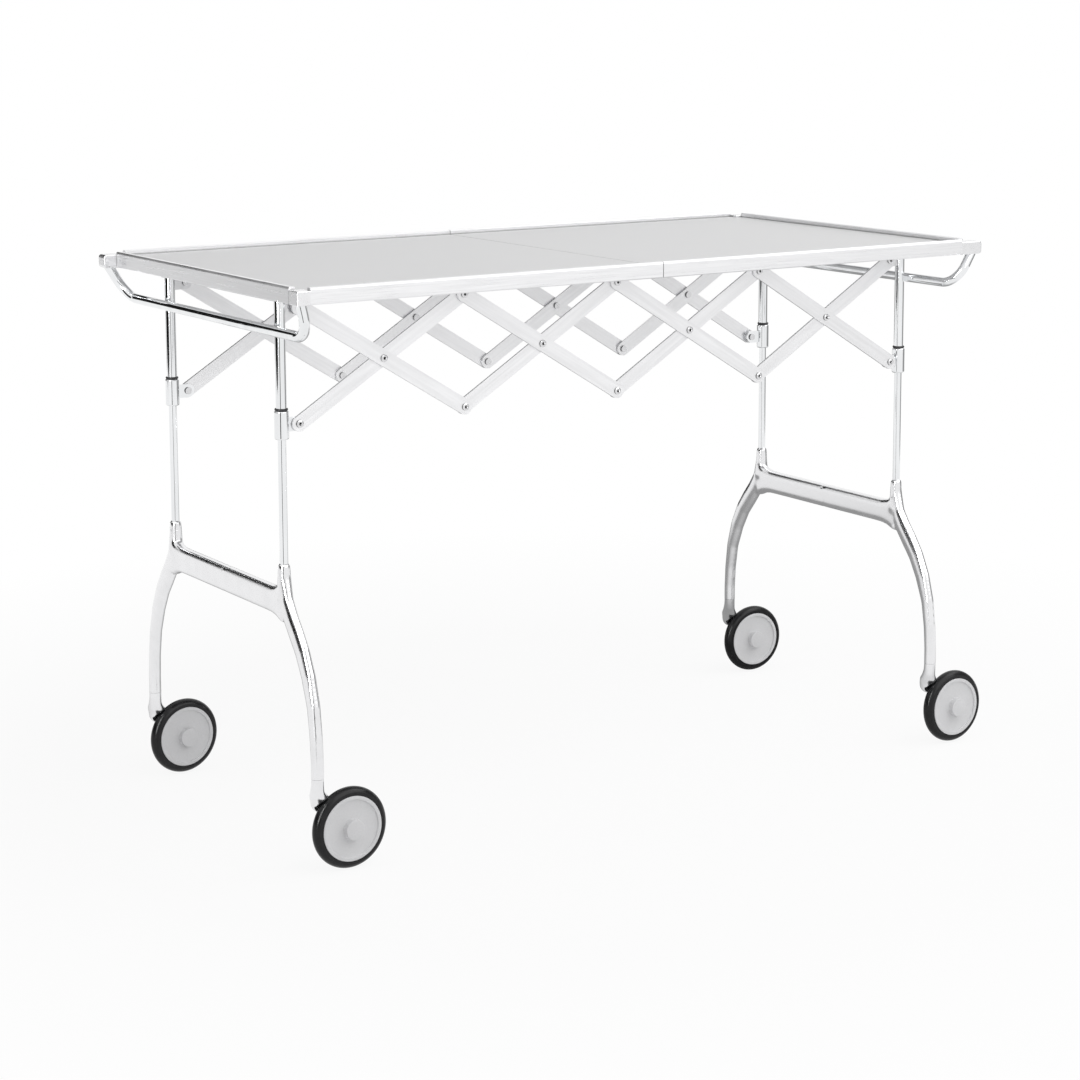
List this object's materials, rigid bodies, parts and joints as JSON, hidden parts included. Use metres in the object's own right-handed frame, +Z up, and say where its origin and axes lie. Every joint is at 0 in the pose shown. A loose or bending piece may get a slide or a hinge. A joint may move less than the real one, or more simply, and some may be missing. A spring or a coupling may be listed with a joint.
{
  "type": "folding serving trolley table",
  "caption": "Folding serving table: hinged grey panel top in an aluminium rim, scissor lattices, chrome columns on bowed end castings, bail handles and swivel castors.",
  "frame": {"origin": "on the floor in the middle of the table's outer box", "axes": "+X along the table towards the end the castors trail to, +Y to the far side, +Z up"},
  "size_m": [1.0879, 0.518, 0.7],
  "materials": {
    "casting": "polished",
    "chrome_rod": "mirror",
    "chrome_tube": "mirror",
    "stop_ring": "matt",
    "bracket": "satin",
    "cradle": "mirror",
    "cross_rail": "satin",
    "rivet": "satin",
    "sleeve": "mirror",
    "lattice_bar": "satin",
    "laminate": "grey laminate, satin",
    "edge_rail": "satin",
    "corner_block": "polished",
    "handle": "mirror",
    "seam_hinge": "satin",
    "castor_arm": "polished",
    "hub": "satin grey plastic",
    "tyre": "gloss black rubber"
  },
  "bodies": {
    "frame_left": {"casting_left": "casting", "guide_rods_left": "chrome_rod", "columns_left": "chrome_tube", "stop_rings_left": "stop_ring", "top_brackets_left": "bracket", "bar_cradles_left": "cradle", "cross_rail_left": "cross_rail"},
    "sleeves_left": {"sleeves_left": "sleeve", "sleeve_pins_left": "rivet"},
    "top_left": {"panel_left": "laminate", "edge_rails_left": "edge_rail", "corner_blocks_left": "corner_block", "handle_left": "handle", "seam_hinge_left": "seam_hinge"},
    "castor_front_left": {"castor_arm_front_left": "castor_arm"},
    "wheel_front_left": {"castor_hub_front_left": "hub", "castor_tyre_front_left": "tyre"},
    "castor_back_left": {"castor_arm_back_left": "castor_arm"},
    "wheel_back_left": {"castor_hub_back_left": "hub", "castor_tyre_back_left": "tyre"},
    "frame_right": {"casting_right": "casting", "guide_rods_right": "chrome_rod", "columns_right": "chrome_tube", "stop_rings_right": "stop_ring", "top_brackets_right": "bracket", "bar_cradles_right": "cradle", "cross_rail_right": "cross_rail", "bracket_pins_right": "rivet"},
    "sleeves_right": {"sleeves_right": "sleeve"},
    "top_right": {"panel_right": "laminate", "edge_rails_right": "edge_rail", "corner_blocks_right": "corner_block", "handle_right": "handle", "seam_hinge_right": "seam_hinge"},
    "castor_front_right": {"castor_arm_front_right": "castor_arm"},
    "wheel_front_right": {"castor_hub_front_right": "hub", "castor_tyre_front_right": "tyre"},
    "castor_back_right": {"castor_arm_back_right": "castor_arm"},
    "wheel_back_right": {"castor_hub_back_right": "hub", "castor_tyre_back_right": "tyre"},
    "bars_outer_1": {"outer_bar_1_front": "lattice_bar", "outer_bar_1_back": "lattice_bar", "rivets_1": "rivet"},
    "bars_inner_1": {"inner_bar_1_front": "lattice_bar", "inner_bar_1_back": "lattice_bar"},
    "bars_outer_2": {"outer_bar_2_front": "lattice_bar", "outer_bar_2_back": "lattice_bar", "rivets_2": "rivet"},
    "bars_inner_2": {"inner_bar_2_front": "lattice_bar", "inner_bar_2_back": "lattice_bar"},
    "bars_outer_3": {"outer_bar_3_front": "lattice_bar", "outer_bar_3_back": "lattice_bar", "rivets_3": "rivet"},
    "bars_inner_3": {"inner_bar_3_front": "lattice_bar", "inner_bar_3_back": "lattice_bar"},
    "bars_outer_4": {"outer_bar_4_front": "lattice_bar", "outer_bar_4_back": "lattice_bar", "rivets_4": "rivet"},
    "bars_inner_4": {"inner_bar_4_front": "lattice_bar", "inner_bar_4_back": "lattice_bar"}
  },
  "joints": [
    {"name": "frame_fold", "type": "hinge", "parent": "frame_left", "child": "bars_outer_1", "pos_m": [-0.473, 0, 0.6655], "axis": [0, 1, 0], "range_deg": [0, 48.41]},
    {"name": "cross_1", "type": "hinge", "parent": "bars_outer_1", "child": "bars_inner_1", "pos_m": [-0.36, 0, 0.596], "axis": [0, 1, 0], "range_deg": [-96.82, 0]},
    {"name": "sleeve_left_pin", "type": "hinge", "parent": "bars_inner_1", "child": "sleeves_left", "pos_m": [-0.473, 0, 0.5265], "axis": [0, 1, 0], "range_deg": [0, 48.42]},
    {"name": "upper_pivot_1", "type": "hinge", "parent": "bars_inner_1", "child": "bars_outer_2", "pos_m": [-0.247, 0, 0.6655], "axis": [0, 1, 0], "range_deg": [0, 96.82]},
    {"name": "cross_2", "type": "hinge", "parent": "bars_outer_2", "child": "bars_inner_2", "pos_m": [-0.134, 0, 0.596], "axis": [0, 1, 0], "range_deg": [-96.82, 0]},
    {"name": "upper_pivot_2", "type": "hinge", "parent": "bars_inner_2", "child": "bars_outer_3", "pos_m": [-0.021, 0, 0.6655], "axis": [0, 1, 0], "range_deg": [0, 96.82]},
    {"name": "cross_3", "type": "hinge", "parent": "bars_outer_3", "child": "bars_inner_3", "pos_m": [0.092, 0, 0.596], "axis": [0, 1, 0], "range_deg": [-96.82, 0]},
    {"name": "upper_pivot_3", "type": "hinge", "parent": "bars_inner_3", "child": "bars_outer_4", "pos_m": [0.205, 0, 0.6655], "axis": [0, 1, 0], "range_deg": [0, 96.82]},
    {"name": "cross_4", "type": "hinge", "parent": "bars_outer_4", "child": "bars_inner_4", "pos_m": [0.318, 0, 0.596], "axis": [0, 1, 0], "range_deg": [-96.82, 0]},
    {"name": "bracket_right_pin", "type": "hinge", "parent": "bars_inner_4", "child": "frame_right", "pos_m": [0.431, 0, 0.6655], "axis": [0, 1, 0], "range_deg": [0, 48.42]},
    {"name": "sleeve_right_pin", "type": "hinge", "parent": "bars_outer_4", "child": "sleeves_right", "pos_m": [0.431, 0, 0.5265], "axis": [0, 1, 0], "range_deg": [-48.42, 0]},
    {"name": "top_left_hinge", "type": "hinge", "parent": "frame_left", "child": "top_left", "pos_m": [-0.5085, 0, 0.64], "axis": [0, 1, 0], "range_deg": [-70.64, 0]},
    {"name": "top_seam", "type": "hinge", "parent": "top_left", "child": "top_right", "pos_m": [-0.021, 0, 0.676], "axis": [0, 1, 0], "range_deg": [0, 141.28]},
    {"name": "castor_swivel_front_left", "type": "hinge", "parent": "frame_left", "child": "castor_front_left", "pos_m": [-0.4945, -0.227, 0.1165], "axis": [0, 0, 1], "continuous": true},
    {"name": "wheel_spin_front_left", "type": "hinge", "parent": "castor_front_left", "child": "wheel_front_left", "pos_m": [-0.45253, -0.22553, 0.0495], "axis": [-0.0349, 0.9994, 0], "continuous": true},
    {"name": "castor_swivel_back_left", "type": "hinge", "parent": "frame_left", "child": "castor_back_left", "pos_m": [-0.4945, 0.227, 0.1165], "axis": [0, 0, 1], "continuous": true},
    {"name": "wheel_spin_back_left", "type": "hinge", "parent": "castor_back_left", "child": "wheel_back_left", "pos_m": [-0.45273, 0.23139, 0.0495], "axis": [-0.1045, 0.9945, 0], "continuous": true},
    {"name": "castor_swivel_front_right", "type": "hinge", "parent": "frame_right", "child": "castor_front_right", "pos_m": [0.4525, -0.227, 0.1165], "axis": [0, 0, 1], "continuous": true},
    {"name": "wheel_spin_front_right", "type": "hinge", "parent": "castor_front_right", "child": "wheel_front_right", "pos_m": [0.49447, -0.22553, 0.0495], "axis": [-0.0349, 0.9994, 0], "continuous": true},
    {"name": "castor_swivel_back_right", "type": "hinge", "parent": "frame_right", "child": "castor_back_right", "pos_m": [0.4525, 0.227, 0.1165], "axis": [0, 0, 1], "continuous": true},
    {"name": "wheel_spin_back_right", "type": "hinge", "parent": "castor_back_right", "child": "wheel_back_right", "pos_m": [0.49447, 0.22553, 0.0495], "axis": [0.0349, 0.9994, 0], "continuous": true}
  ],
  "couplings": [
    {"joint": "cross_1", "follows": "frame_fold", "ratio": -2},
    {"joint": "sleeve_left_pin", "follows": "frame_fold", "ratio": 1},
    {"joint": "upper_pivot_1", "follows": "frame_fold", "ratio": 2},
    {"joint": "cross_2", "follows": "frame_fold", "ratio": -2},
    {"joint": "upper_pivot_2", "follows": "frame_fold", "ratio": 2},
    {"joint": "cross_3", "follows": "frame_fold", "ratio": -2},
    {"joint": "upper_pivot_3", "follows": "frame_fold", "ratio": 2},
    {"joint": "cross_4", "follows": "frame_fold", "ratio": -2},
    {"joint": "bracket_right_pin", "follows": "frame_fold", "ratio": 1},
    {"joint": "sleeve_right_pin", "follows": "frame_fold", "ratio": -1},
    {"joint": "top_left_hinge", "follows": "frame_fold", "ratio": -1.4592},
    {"joint": "top_seam", "follows": "frame_fold", "ratio": 2.9183}
  ]
}
